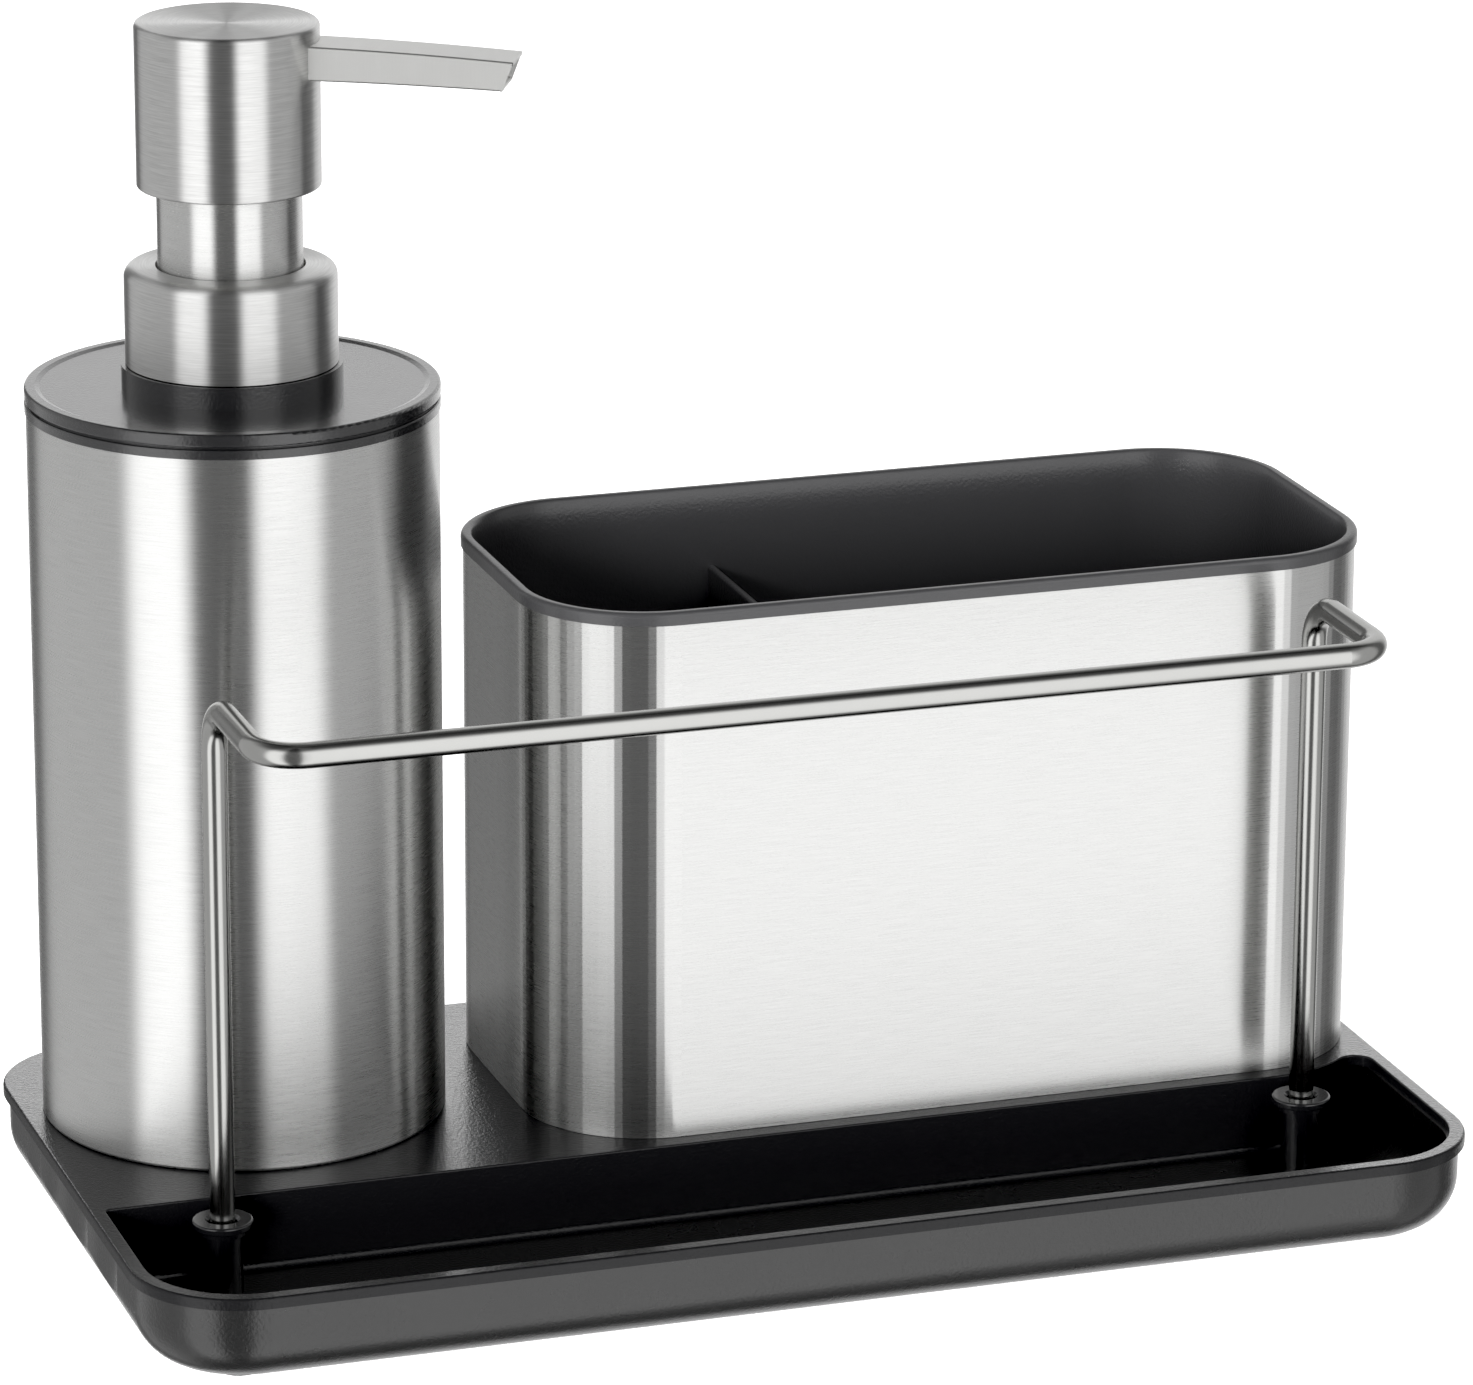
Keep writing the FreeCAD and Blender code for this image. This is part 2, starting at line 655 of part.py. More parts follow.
coil = []
quarter = math.pi / 2
for step in range(4 * spring_turns):
    start = coil_point(step * quarter)
    end = coil_point((step + 1) * quarter)
    heading_in = coil_heading(step * quarter)
    heading_out = coil_heading((step + 1) * quarter)
    span = end - start
    bend = 2 * (1 - heading_in.dot(heading_out))
    along = span.dot(heading_in + heading_out)
    arm = (math.sqrt(along ** 2 + bend * span.dot(span)) - along) / bend
    knee_in = start + heading_in * arm
    knee_out = end - heading_out * arm
    knee = (knee_in + knee_out) / 2
    coil.append(tangent_arc(start, heading_in, knee))
    coil.append(tangent_arc(knee, (knee_out - knee_in).normalize(), end))
wire_end = Part.Wire(Part.makeCircle(spring_wire / 2, coil_point(0), coil_heading(0)))
spring = Part.Wire(coil).makePipeShell([wire_end], True, False)
save(spring, "return_spring")

# Dip tube from the housing to the container's floor
tube_in_r = tube_r - tube_wall
dip_tube = turned([
    (tube_in_r, tube_low_z), (tube_r, tube_low_z), (tube_r, tube_top_z), (tube_in_r, tube_top_z),
])
save(dip_tube, "dip_tube")

# Collar: steel cap over a plastic insert that screws on the neck, with one bend inside the other
collar = turned([
    (collar_in_r, collar_z), (collar_r, collar_z), (collar_r, collar_top_z), (collar_hole_r, collar_top_z),
    (collar_hole_r, collar_under_z), (collar_in_r, collar_under_z),
])
inner_rounding = collar_rounding - collar_wall
collar = collar.makeFillet(collar_rounding, outer_rim(collar, collar_top_z))
collar = collar.makeFillet(inner_rounding, outer_rim(collar, collar_under_z))
save(collar, "collar_shell")
insert = turned([
    (thread_r, collar_z), (insert_r, collar_z), (insert_r, collar_under_z), (collar_hole_r, collar_under_z),
    (collar_hole_r, clamp_z), (thread_r, clamp_z),
])
save(insert.makeFillet(inner_rounding, outer_rim(insert, collar_under_z)), "collar_insert")

# Stem and piston
stem_bore_r = stem_bore / 2
stem = turned([(stem_bore_r, piston_z), (stem_r, piston_z), (stem_r, stem_top_z), (stem_bore_r, stem_top_z)])
save(stem, "pump_stem")
piston_r = bore_r - piston_clearance
piston = turned([(stem_r, piston_z), (piston_r, piston_z), (piston_r, piston_top_z), (stem_r, piston_top_z)])
save(piston, "pump_piston")

# Head sleeve: the narrow steel tube under the head
head_sleeve = turned([
    (sleeve_in_r, sleeve_z), (sleeve_r, sleeve_z), (sleeve_r, core_plate_z), (sleeve_in_r, core_plate_z),
])
save(head_sleeve, "head_sleeve")

# Spout: bowed box welded in a slot of the head, drawn along X and then turned to its angle
head_in_r = head_r - head_wall
root_x = math.sqrt(head_in_r ** 2 - (spout_width / 2) ** 2) - spout_seat
root_top_z = head_top_z - spout_top_drop
root_low_z = root_top_z - spout_root_height
tip_top_z = head_top_z - spout_tip_drop
tip_low_z = tip_top_z - spout_tip_height


def spout_block(inset, start, run_out):
    """Block with the spout's bowed side view, set in by a wall, from start to past or short of the tip."""
    high = [V(0, 0, root_top_z - inset), V(spout_length + run_out, 0, tip_top_z - inset)]
    low = [V(0, 0, root_low_z + inset), V(spout_length - spout_undercut + run_out, 0, tip_low_z + inset)]
    high_mid = (high[0] + high[1]) / 2 + V(0, 0, spout_top_bow)
    low_mid = (low[0] + low[1]) / 2 + V(0, 0, spout_bottom_bow)
    face = Part.Face(Part.Wire([
        Part.Arc(high[0], high_mid, high[1]).toShape(),
        Part.makeLine(high[1], low[1]),
        Part.Arc(low[1], low_mid, low[0]).toShape(),
        Part.makeLine(low[0], high[0]),
    ]))
    width = spout_width - 2 * inset
    face.translate(V(0, -width / 2, 0))
    inside_head = Part.makeBox(start + cut_overrun, width + 2 * cut_overrun, head_height,
                               V(-cut_overrun, -width / 2 - cut_overrun, head_z))
    return face.extrude(V(0, width, 0)).cut(inside_head)


def rounded_spout(inset, start):
    """Spout block with its four long edges rounded."""
    block = spout_block(inset, start, 0)
    long_edges = [e for e in block.Edges if e.BoundBox.XLength > spout_length / 2]
    return block.makeFillet(spout_edge_rounding, long_edges)


def place_spout(shape):
    """Turn a piece drawn along X to the spout's angle on the bottle's axis."""
    shape.rotate(V(0, 0, 0), V(0, 0, 1), spout_angle)
    shape.translate(V(bottle_x, bottle_y, 0))
    return shape


spout = rounded_spout(0, root_x).cut(spout_block(spout_wall, root_x - cut_overrun, cut_overrun))
save(place_spout(spout), "spout_shell")
slot = place_spout(rounded_spout(-slot_clearance, root_x - slot_clearance))

# Spout insert: plastic filling with the outlet, and a tube that reaches through the head's side
fill_inset = spout_wall + spout_fit
outlet_r = spout_tip_height / 2 - fill_inset - outlet_wall
outlet_tube_r = outlet_r + outlet_tube_wall
outlet_from = V(outlet_start, 0, (root_top_z + root_low_z) / 2)
outlet_to = V(spout_length, 0, (tip_top_z + tip_low_z) / 2)
outlet_run = outlet_to - outlet_from
outlet = Part.makeCylinder(outlet_r, outlet_run.Length + cut_overrun, outlet_from, outlet_run)
outlet_tube = Part.makeCylinder(outlet_tube_r, root_x - outlet_start + cut_overrun, outlet_from, outlet_run)
filling = spout_block(fill_inset, root_x, -spout_recess)
filling = filling.fuse(outlet_tube).cut(outlet).removeSplitter()
save(place_spout(filling), "spout_insert")

# Head core: plastic block that carries the sleeve, takes the stem and leads the soap to the spout
core_r = head_in_r - core_clearance
core_z = head_z + core_recess
core_boss_r = core_boss_diameter / 2
core_boss_z = core_plate_z - core_boss_length
stem_socket_r = stem_r + stem_socket_clearance
core = turned([
    (sleeve_r, core_z), (core_r, core_z), (core_r, core_top_z), (0, core_top_z), (0, stem_top_z),
    (stem_socket_r, stem_top_z), (stem_socket_r, core_boss_z), (core_boss_r, core_boss_z),
    (core_boss_r, core_plate_z), (sleeve_r, core_plate_z),
])
rise = post(stem_bore, stem_top_z, outlet_from.z, bottle_x, bottle_y)
tube_seat = Part.makeCylinder(outlet_tube_r, head_r, outlet_from, outlet_run)
cross = Part.makeCylinder(outlet_r, head_r, V(0, 0, outlet_from.z), outlet_run)
core = core.cut(slot).cut(rise).cut(place_spout(tube_seat)).cut(place_spout(cross))
save(core, "head_core")

# Head shell: steel cap with the slot for the spout
head = turned([
    (head_in_r, head_z), (head_r, head_z), (head_r, head_top_z), (0, head_top_z), (0, core_top_z),
    (head_in_r, core_top_z),
])
head = head.makeFillet(head_rounding, outer_rim(head, head_top_z))
head = head.makeFillet(head_foot_rounding, outer_rim(head, head_z))
save(head.cut(slot), "head_shell")
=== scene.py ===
"""Looks of a sink caddy: tray with drip trough and towel rail, brush holder and soap pump bottle."""

import json
import math

import bpy
from mathutils import Matrix, Vector

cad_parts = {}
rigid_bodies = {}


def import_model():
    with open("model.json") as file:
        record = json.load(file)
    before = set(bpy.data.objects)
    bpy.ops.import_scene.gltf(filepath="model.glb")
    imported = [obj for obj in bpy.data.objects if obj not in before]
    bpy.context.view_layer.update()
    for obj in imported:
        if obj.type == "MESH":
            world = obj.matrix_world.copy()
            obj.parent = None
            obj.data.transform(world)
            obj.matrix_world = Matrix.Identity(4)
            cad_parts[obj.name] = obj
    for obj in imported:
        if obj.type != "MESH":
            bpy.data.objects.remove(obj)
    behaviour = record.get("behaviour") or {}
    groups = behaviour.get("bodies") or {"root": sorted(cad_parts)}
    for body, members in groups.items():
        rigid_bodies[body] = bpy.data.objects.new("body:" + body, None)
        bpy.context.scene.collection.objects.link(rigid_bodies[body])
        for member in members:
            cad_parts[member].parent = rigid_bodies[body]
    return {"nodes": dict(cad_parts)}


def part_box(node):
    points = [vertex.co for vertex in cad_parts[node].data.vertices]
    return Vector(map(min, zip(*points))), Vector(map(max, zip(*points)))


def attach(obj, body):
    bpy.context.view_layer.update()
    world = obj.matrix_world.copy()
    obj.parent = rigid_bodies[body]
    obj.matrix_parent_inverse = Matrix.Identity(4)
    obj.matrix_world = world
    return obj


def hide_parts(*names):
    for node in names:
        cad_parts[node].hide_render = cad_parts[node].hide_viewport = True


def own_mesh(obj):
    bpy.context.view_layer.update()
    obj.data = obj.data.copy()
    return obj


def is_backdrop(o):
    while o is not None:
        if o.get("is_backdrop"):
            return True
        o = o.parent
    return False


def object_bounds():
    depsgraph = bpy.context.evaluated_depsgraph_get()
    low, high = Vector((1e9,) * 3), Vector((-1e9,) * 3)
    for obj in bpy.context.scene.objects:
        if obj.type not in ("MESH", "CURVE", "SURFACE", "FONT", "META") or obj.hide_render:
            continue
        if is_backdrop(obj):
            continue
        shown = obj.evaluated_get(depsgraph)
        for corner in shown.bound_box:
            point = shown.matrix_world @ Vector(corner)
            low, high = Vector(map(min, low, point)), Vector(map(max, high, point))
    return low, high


bpy.ops.object.select_all(action="SELECT")
bpy.ops.object.delete()
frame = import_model()
cad_low, cad_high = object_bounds()

# Tray: a tub moulded in black polypropylene with a fine spark-eroded texture, and a top frame with
# the deck, the rim and the trough's back wall. The frame is pressed down on the tub and welded.
mm = 0.001
nodes = frame["nodes"]
satin_black_colour = "0b0b0c"
tub_colour = "0c0c0c"
tool_grain_mm = 0.5
sheen_cloud_mm = 9.0
sheen_spread = 0.06
plastic_ior = 1.5
skin_rough = 0.15


def linear(hex_colour):
    """Linear colour with alpha from an sRGB hex value."""
    channels = [int(hex_colour[i:i + 2], 16) / 255 for i in (0, 2, 4)]
    return [c / 12.92 if c <= 0.04045 else ((c + 0.055) / 1.055) ** 2.4 for c in channels] + [1.0]


def add(tree, kind, options=None, inputs=None):
    """Add a node, set its options, and set or link its inputs."""
    made = tree.nodes.new(kind)
    for name, value in (options or {}).items():
        setattr(made, name, value)
    for name, value in (inputs or {}).items():
        if isinstance(value, bpy.types.NodeSocket):
            tree.links.new(value, made.inputs[name])
        else:
            made.inputs[name].default_value = value
    return made


def new_finish(name):
    """Empty node material, and the tree to build it in."""
    finish = bpy.data.materials.new(name)
    finish.use_nodes = True
    finish.node_tree.nodes.clear()
    return finish, finish.node_tree


def show(tree, shader):
    """Send a shader to the material's output."""
    add(tree, "ShaderNodeOutputMaterial", inputs={"Surface": shader.outputs[0]})


def moulded_plastic(name, colour, rough, grain_mm, grain_depth_mm, skin=0.0, gleam=0.5):
    """Moulded plastic whose tool texture gives a fine grain, with faint clouds in its sheen.

    The skin that forms against a smooth tool shines more at a flat angle than the plastic below it,
    and a textured tool takes some of the plastic's own gleam away.
    """
    finish, tree = new_finish(name)
    place = add(tree, "ShaderNodeTexCoord")
    grain = add(tree, "ShaderNodeTexNoise", None, {
        "Vector": place.outputs["Object"], "Scale": 1 / (grain_mm * mm), "Detail": 2.0, "Roughness": 0.6})
    cloud = add(tree, "ShaderNodeTexNoise", None, {
        "Vector": place.outputs["Object"], "Scale": 1 / (sheen_cloud_mm * mm), "Detail": 3.0})
    sheen = add(tree, "ShaderNodeMapRange", None, {
        "Value": cloud.outputs["Fac"], "From Min": 0.3, "From Max": 0.7,
        "To Min": rough * (1 - sheen_spread), "To Max": rough * (1 + sheen_spread)})
    bump = add(tree, "ShaderNodeBump", None, {
        "Strength": 0.6, "Distance": grain_depth_mm * mm, "Height": grain.outputs["Fac"]})
    shader = add(tree, "ShaderNodeBsdfPrincipled", None, {
        "Base Color": linear(colour), "Roughness": sheen.outputs["Result"], "IOR": plastic_ior,
        "Specular IOR Level": gleam, "Coat Weight": skin, "Coat Roughness": skin_rough,
        "Normal": bump.outputs["Normal"]})
    show(tree, shader)
    return finish


def paint(finish, *names):
    """Give the finish to these pieces of the frame."""
    for name in names:
        nodes[name].material_slots[0].material = finish


# The deck's texture gives a deep black that turns grey at a flat angle, and the tub's outside a more
# even grey. The real grain is about a tenth of a millimetre and is drawn coarser, so that it shows.
satin_black = moulded_plastic(
    "satin black polypropylene", satin_black_colour, rough=0.24, grain_mm=tool_grain_mm,
    grain_depth_mm=0.2, skin=0.22, gleam=0.22)
tub_black = moulded_plastic(
    "satin black polypropylene, tub", tub_colour, rough=0.28, grain_mm=tool_grain_mm,
    grain_depth_mm=0.16, skin=0.55)
paint(satin_black, "tray_top")
paint(tub_black, "tray_tub")

# Feet: four pads of black rubber, moulded, and pressed in recesses under the tub.
# They keep the tray off a wet top and hold it in place.
rubber_colour = "161616"
rubber_grain_mm = 0.5

# Rubber gives a dull charcoal with no clear highlight.
rubber = moulded_plastic(
    "black rubber", rubber_colour, rough=0.75, grain_mm=rubber_grain_mm, grain_depth_mm=0.05)
paint(rubber, "foot_front_left", "foot_front_right", "foot_rear_left", "foot_rear_right")

# Rail sockets: two posts turned from black acetal with a polished flange.
# They stand on spigots in the tub's floor, and the rail's ends go down into them.
socket_colour = "0b0b0c"
polish_wave_mm = 1.2

# Polish gives small sharp highlights round the flange, a little wavy as turned plastic is.
gloss_black = moulded_plastic(
    "polished black acetal", socket_colour, rough=0.11, grain_mm=polish_wave_mm,
    grain_depth_mm=0.004, skin=0.5)
paint(gloss_black, "rail_socket_left", "rail_socket_right")

# Rail: one rod of stainless steel, drawn, bent at four corners and polished.
# Its two ends stand loose in the sockets, so that it lifts out with the cloth on it.
rail_colour = "b2b2b0"
haze_mm = 2.5
haze_spread = 0.08


def polished_steel(name, colour, rough):
    """Bright steel with a faint unevenness from polishing."""
    finish, tree = new_finish(name)
    place = add(tree, "ShaderNodeTexCoord")
    haze = add(tree, "ShaderNodeTexNoise", None, {
        "Vector": place.outputs["Object"], "Scale": 1 / (haze_mm * mm), "Detail": 4.0})
    gloss = add(tree, "ShaderNodeMapRange", None, {
        "Value": haze.outputs["Fac"], "From Min": 0.3, "From Max": 0.7,
        "To Min": rough * (1 - haze_spread), "To Max": rough * (1 + haze_spread)})
    shader = add(tree, "ShaderNodeBsdfPrincipled", None, {
        "Base Color": linear(colour), "Metallic": 1.0, "Roughness": gloss.outputs["Result"]})
    show(tree, shader)
    return finish


# Polished steel mirrors the studio in thin bright and dark lines along the rod.
bright_steel = polished_steel("polished stainless rod", rail_colour, rough=0.2)
paint(bright_steel, "towel_rail")

# Brush holder sleeve: a band of stainless sheet, brushed along its length, bent round four corners
# and welded at the back. It stands on the deck.
sleeve_colour = "d0d0cf"
sleeve_wall = 0.6 * mm
sleeve_corner = 20.5 * mm
sleeve_edge = 0.12 * mm
corner_steps = 24
edge_steps = 2
brush_length_mm = 7.0
brush_width_mm = 0.24
brush_depth_mm = 0.002
brush_spread = 0.08
merge_reach = 0.002 * mm
same_place = 0.01 * mm


def brushed_steel(name, colour, rough, contrast):
    """Stainless sheet with brush lines along U of its own map, which stretch highlights across them.

    The real lines are a few hundredths wide; here they are drawn coarse enough to show.
    """
    # A Mix node has several sockets of one name, so those for colours go by their number
    first_colour, second_colour, mixed_colour = 6, 7, 2
    finish, tree = new_finish(name)
    along = add(tree, "ShaderNodeUVMap", {"uv_map": "brush"})
    spread = add(tree, "ShaderNodeMapping", None, {
        "Vector": along.outputs["UV"], "Scale": (1 / brush_length_mm, 1 / brush_width_mm, 1.0)})
    lines = add(tree, "ShaderNodeTexNoise", {"noise_dimensions": "2D"}, {
        "Vector": spread.outputs["Vector"], "Scale": 1.0, "Detail": 3.0, "Roughness": 0.65})
    gloss = add(tree, "ShaderNodeMapRange", None, {
        "Value": lines.outputs["Fac"], "From Min": 0.25, "From Max": 0.75,
        "To Min": rough * (1 - brush_spread), "To Max": rough * (1 + brush_spread)})
    tone = add(tree, "ShaderNodeMapRange", None, {
        "Value": lines.outputs["Fac"], "From Min": 0.25, "From Max": 0.75,
        "To Min": 1.0 - contrast, "To Max": 1.0})
    shade = add(tree, "ShaderNodeMix", {"data_type": "RGBA", "blend_type": "MULTIPLY"}, {
        "Factor": 1.0, first_colour: linear(colour), second_colour: tone.outputs["Result"]})
    bump = add(tree, "ShaderNodeBump", None, {
        "Strength": 0.1, "Distance": brush_depth_mm * mm, "Height": lines.outputs["Fac"]})
    lay = add(tree, "ShaderNodeTangent", {"direction_type": "UV_MAP", "uv_map": "brush"})
    shader = add(tree, "ShaderNodeBsdfPrincipled", None, {
        "Base Color": shade.outputs[mixed_colour], "Metallic": 1.0, "Roughness": gloss.outputs["Result"],
        "Anisotropic": 1.0, "Anisotropic Rotation": 0.25,
        "Normal": bump.outputs["Normal"], "Tangent": lay.outputs["Tangent"]})
    show(tree, shader)
    return finish


def begin():
    """Leave nothing selected, so that an operator acts on the new piece alone."""
    bpy.ops.object.select_all(action="DESELECT")


def edit(piece, kind="EDGE"):
    """Open a piece in edit mode with nothing of it selected."""
    bpy.context.view_layer.objects.active = piece
    bpy.ops.object.mode_set(mode="EDIT")
    bpy.ops.mesh.select_mode(type=kind)
    bpy.ops.mesh.select_all(action="DESELECT")


def pick_runs(piece, wanted):
    """Select in edit mode the edges that a test of their two ends accepts."""
    bpy.ops.object.mode_set(mode="OBJECT")
    spots = piece.data.vertices
    for edge in piece.data.edges:
        edge.select = wanted(*(spots[i].co for i in edge.vertices))
    bpy.ops.object.mode_set(mode="EDIT")


def pick_edges(piece, wanted):
    """Select in edit mode the edges whose two ends are both wanted."""
    pick_runs(piece, lambda start, end: wanted(start) and wanted(end))


def settle(piece, sharp_degrees=32):
    """Close the edit: merge doubles, face outwards, smooth it and keep flat faces flat."""
    bpy.ops.object.mode_set(mode="EDIT")
    bpy.ops.mesh.select_all(action="SELECT")
    bpy.ops.mesh.remove_doubles(threshold=merge_reach)
    bpy.ops.mesh.normals_make_consistent(inside=False)
    bpy.ops.object.mode_set(mode="OBJECT")
    bpy.ops.object.shade_smooth_by_angle(angle=math.radians(sharp_degrees))
    piece.modifiers.new("flat faces", "WEIGHTED_NORMAL").keep_sharp = True
    bpy.ops.object.modifier_apply(modifier="flat faces")


def thicken(piece, thickness):
    """Give a sheet its wall, inwards from the face that is there."""
    wall = piece.modifiers.new("wall", "SOLIDIFY")
    wall.thickness = thickness
    wall.offset = -1.0
    bpy.ops.object.modifier_apply(modifier="wall")


def dress(piece, finish, slot, body, *stands_for):
    """Give a piece its finish and its place in the frame."""
    piece.data.materials.clear()
    piece.data.materials.append(finish)
    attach(piece, body)
    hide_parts(*stands_for)


def push(rise):
    """Extrude what is selected straight up or down."""
    bpy.ops.mesh.extrude_region_move(TRANSFORM_OT_translate={"value": (0, 0, rise)})


def rounded_plate(name, low, high, radius, z):
    """Flat face in the shape of a rounded rectangle at one level, open in edit mode."""
    begin()
    middle = (low + high) / 2
    bpy.ops.mesh.primitive_plane_add(size=1.0, location=(middle.x, middle.y, z))
    piece = bpy.context.object
    piece.name = name
    piece.scale = (high.x - low.x, high.y - low.y, 1.0)
    bpy.ops.object.transform_apply(location=True, rotation=False, scale=True)
    edit(piece, "VERT")
    bpy.ops.mesh.select_all(action="SELECT")
    bpy.ops.mesh.bevel(offset=radius, segments=corner_steps, affect="VERTICES")
    return piece


def perimeter_map(piece, low, high, radius):
    """Map with U along the wall of a rounded rectangle and V upwards, both in millimetres."""
    middle = (low + high) / 2
    half = (high - low) / 2
    run_x = half.x - radius
    run_y = half.y - radius
    quarter = radius * math.pi / 2
    side = 2 * run_x + 2 * run_y + 2 * quarter
    layer = piece.data.uv_layers.new(name="brush")

    def along(spot):
        """Way round from the middle of the back, over half the outline, as a signed length."""
        x = abs(spot.x - middle.x)
        y = spot.y - middle.y
        sign = 1.0 if spot.x >= middle.x else -1.0
        if y > run_y and x <= run_x:
            return sign * x
        if y < -run_y and x <= run_x:
            return sign * (side - x)
        if abs(y) <= run_y:
            return sign * (run_x + quarter + run_y - y)
        corner = math.atan2(x - run_x, abs(y) - run_y) * radius
        if y > 0:
            return sign * (run_x + corner)
        return sign * (side - run_x - corner)

    for face in piece.data.polygons:
        start = along(face.center)
        for corner in face.loop_indices:
            spot = piece.data.vertices[piece.data.loops[corner].vertex_index].co
            way = along(spot)
            if way - start > side:
                way -= 2 * side
            elif start - way > side:
                way += 2 * side
            layer.data[corner].uv = (way / mm, spot.z / mm)


sleeve_low, sleeve_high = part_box("holder_sleeve")
sleeve = rounded_plate("holder_sleeve_sheet", sleeve_low, sleeve_high, sleeve_corner, sleeve_low.z)
bpy.ops.mesh.delete(type="ONLY_FACE")
bpy.ops.mesh.select_all(action="SELECT")
push(sleeve_high.z - sleeve_low.z)
settle(sleeve)
thicken(sleeve, sleeve_wall)
edit(sleeve)
pick_edges(sleeve, lambda co: min(co.z - sleeve_low.z, sleeve_high.z - co.z) < same_place)
bpy.ops.mesh.bevel(offset=sleeve_edge, segments=edge_steps, affect="EDGES")
settle(sleeve)
perimeter_map(sleeve, sleeve_low, sleeve_high, sleeve_corner)

# The brushing gives fine level lines on the flat sides and upright bands of light at the corners.
brushed_sheet = brushed_steel("brushed stainless sheet", sleeve_colour, rough=0.28, contrast=0.13)
dress(sleeve, brushed_sheet, "brushed_stainless", "holder", "holder_sleeve")

# Holder liner: a tub of black polypropylene with thin drafted walls, moulded in one with its divider.
# Its rounded bead lies on the sleeve's top edge, and a shoulder below the bead centres it in the sleeve.
liner_colour = "272728"
bead_overhang = 0.35 * mm
bead_height = 2.1 * mm
bead_rounding = 0.85 * mm
bead_width = 2.7 * mm
flare_width = 1.3 * mm
flare_depth = 6.0 * mm
rounding_steps = 8
shoulder_inset = 1.35 * mm
shoulder_height = 4.0 * mm
body_inset = 0.3 * mm
wall_draft = 0.9 * mm
liner_floor = 2.0 * mm
liner_floor_rounding = 3.0 * mm
divider_thickness = 1.3 * mm
divider_from_left = 47.5 * mm
divider_drop = 13.4 * mm
divider_rounding = 0.5 * mm
divider_steps = 4
divider_seat = 2.2 * mm
divider_foot = 1.0 * mm
liner_low, liner_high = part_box("holder_liner")
bead_foot = liner_high.z - bead_height
floor_z = liner_low.z + liner_floor
divider_x = liner_low.x + bead_overhang + divider_from_left
divider_top = liner_high.z - divider_drop
divider_low = liner_low.z + divider_foot


def step_in(inward, rise):
    """Inset the selected face and move it up or down."""
    bpy.ops.mesh.inset(thickness=inward, depth=rise, use_even_offset=True)


def round_over(inward, rise, starts_level):
    """Round a corner in small insets, in a quarter of an ellipse that starts level or upright."""
    spots = []
    for step in range(rounding_steps + 1):
        turn = math.pi / 2 * step / rounding_steps
        early = math.sin(turn)
        late = 1 - math.cos(turn)
        spots.append((inward * early, rise * late) if starts_level else (inward * late, rise * early))
    for (in_a, rise_a), (in_b, rise_b) in zip(spots, spots[1:]):
        step_in(in_b - in_a, rise_b - rise_a)


def pick_faces(piece, wanted):
    """Select in edit mode the faces that are wanted."""
    bpy.ops.object.mode_set(mode="OBJECT")
    for face in piece.data.polygons:
        face.select = wanted(face)
    bpy.ops.object.mode_set(mode="EDIT")


# The tub grows from one plate: up round the bead, down inside to the floor, then down outside
liner = rounded_plate("holder_liner_tub", liner_low, liner_high, sleeve_corner + bead_overhang, bead_foot)
bpy.ops.mesh.select_mode(type="FACE")
bpy.ops.mesh.select_all(action="SELECT")
push(bead_height - bead_rounding)
round_over(bead_rounding, bead_rounding, starts_level=False)
step_in(bead_width - bead_rounding - flare_width, 0.0)
round_over(flare_width, -flare_depth, starts_level=True)
step_in(wall_draft, floor_z + liner_floor_rounding - (liner_high.z - flare_depth))
round_over(liner_floor_rounding, -liner_floor_rounding, starts_level=False)
pick_faces(liner, lambda face: face.normal.z < -0.9 and abs(face.center.z - bead_foot) < same_place)
step_in(shoulder_inset, 0.0)
push(-shoulder_height)
step_in(body_inset, 0.0)
push(liner_low.z - (bead_foot - shoulder_height))
bpy.ops.object.mode_set(mode="OBJECT")

# The divider reaches into both walls and the floor, and its top edges are rounded
begin()
bpy.ops.mesh.primitive_cube_add(size=1.0, location=(
    divider_x, (liner_low.y + liner_high.y) / 2, (divider_low + divider_top) / 2))
divider = bpy.context.object
divider.scale = (
    divider_thickness, liner_high.y - liner_low.y - 2 * divider_seat, divider_top - divider_low)
bpy.ops.object.transform_apply(location=True, rotation=False, scale=True)
edit(divider)
pick_runs(divider, lambda start, end: min(start.z, end.z) > divider_low
          and abs(start.y - end.y) > divider_seat)
bpy.ops.mesh.bevel(offset=divider_rounding, segments=divider_steps, affect="EDGES")
bpy.ops.object.mode_set(mode="OBJECT")
begin()
divider.select_set(True)
liner.select_set(True)
bpy.context.view_layer.objects.active = liner
bpy.ops.object.join()
settle(liner)

# An eggshell tool gives a soft charcoal that is lighter than the tray, with a dim line along the bead.
liner_black = moulded_plastic(
    "eggshell black polypropylene", liner_colour, rough=0.3, grain_mm=tool_grain_mm,
    grain_depth_mm=0.1, skin=0.2)
dress(liner, liner_black, "black_satin_plastic", "liner", "holder_liner")

# Bottle shell: a tube drawn from stainless steel with its foot turned in, brushed round on a lathe.
# The container drops into it from above, and the container's band rests on the tube's edge.
tube_colour = "d8d8d7"
shell_wall = 0.6 * mm
shell_foot = 6.0 * mm
shell_foot_rounding = 0.6 * mm
shell_foot_steps = 5
shell_edge = 0.12 * mm
turn_sides = 192
pole_reach = 0.05 * mm
shell_low, shell_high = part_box("bottle_shell")
axis = Vector(((shell_low.x + shell_high.x) / 2, (shell_low.y + shell_high.y) / 2, 0))
shell_r = (shell_high.x - shell_low.x) / 2
shell_in_r = shell_r - shell_wall


def from_axis(co):
    """Distance of a point from the bottle's axis."""
    return math.hypot(co.x - axis.x, co.y - axis.y)


